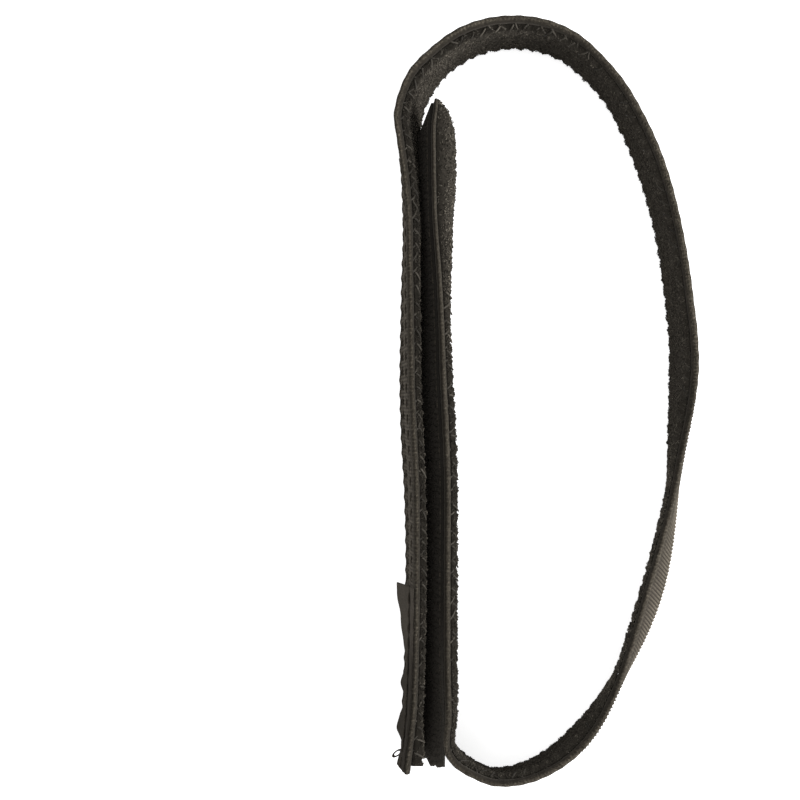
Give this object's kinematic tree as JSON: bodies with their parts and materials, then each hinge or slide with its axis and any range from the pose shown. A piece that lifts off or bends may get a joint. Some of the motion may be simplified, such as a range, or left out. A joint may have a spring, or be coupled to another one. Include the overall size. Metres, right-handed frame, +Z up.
{
  "type": "tourniquet",
  "caption": "Elastic hook-and-loop tourniquet band standing on its edge in an open loop, with a peel-open tail, a pile lining, a hook-faced inner end and a plain sewn label.",
  "frame": {"origin": "middle of the part's box, on the surface that it stands on", "axes": "+Z up the band's width, +Y along the loop towards its round top, +X from the closure towards the bow of the loop"},
  "size_m": [0.0962, 0.2484, 0.05],
  "materials": {
    "webbing": "woven elastic, matt brown-black",
    "pile": "brushed loop pile, matt brown-black",
    "thread": "bonded sewing thread, slight sheen",
    "hook": "hook tape, black",
    "label": "woven satin, dark grey-black"
  },
  "bodies": {
    "loop": {"webbing_loop": "webbing", "pile_loop": "pile", "zigzag_near_loop": "thread", "zigzag_far_loop": "thread"},
    "tail_root": {"webbing_tail_root": "webbing", "pile_tail_root": "pile", "zigzag_near_tail_root": "thread", "zigzag_far_tail_root": "thread", "seam_near_tail_root": "thread", "seam_far_tail_root": "thread", "seam_cross_tail_root": "thread"},
    "tail_tip": {"webbing_tail_tip": "webbing", "pile_tail_tip": "pile", "zigzag_near_tail_tip": "thread", "zigzag_far_tail_tip": "thread", "seam_near_tail_tip": "thread", "seam_far_tail_tip": "thread", "seam_tack_tail_tip": "thread", "label_base": "label", "label_seam": "thread"},
    "hook_end": {"webbing_hook_end": "webbing", "pile_hook_end": "pile", "zigzag_near_hook_end": "thread", "zigzag_far_hook_end": "thread", "hook_tape": "hook", "hook_seam_near": "thread", "hook_seam_far": "thread"},
    "label_flap": {"label_flap": "label"}
  },
  "joints": [
    {"name": "tail_root_peel", "type": "hinge", "parent": "loop", "child": "tail_root", "pos_m": [-0.04809, 0.08477, 0.025], "axis": [0, 0, -1], "range_deg": [0, 110]},
    {"name": "tail_tip_peel", "type": "hinge", "parent": "tail_root", "child": "tail_tip", "pos_m": [-0.04653, -0.01618, 0.025], "axis": [0, 0, -1], "range_deg": [0, 90]},
    {"name": "hook_end_swing", "type": "hinge", "parent": "loop", "child": "hook_end", "pos_m": [-0.02388, -0.10981, 0.025], "axis": [0, 0, -1], "range_deg": [0, 12]},
    {"name": "label_lift", "type": "hinge", "parent": "tail_tip", "child": "label_flap", "pos_m": [-0.04578, -0.08206, 0.04255], "axis": [0.018, 0.9998, 0], "range_deg": [0, 140]}
  ]
}
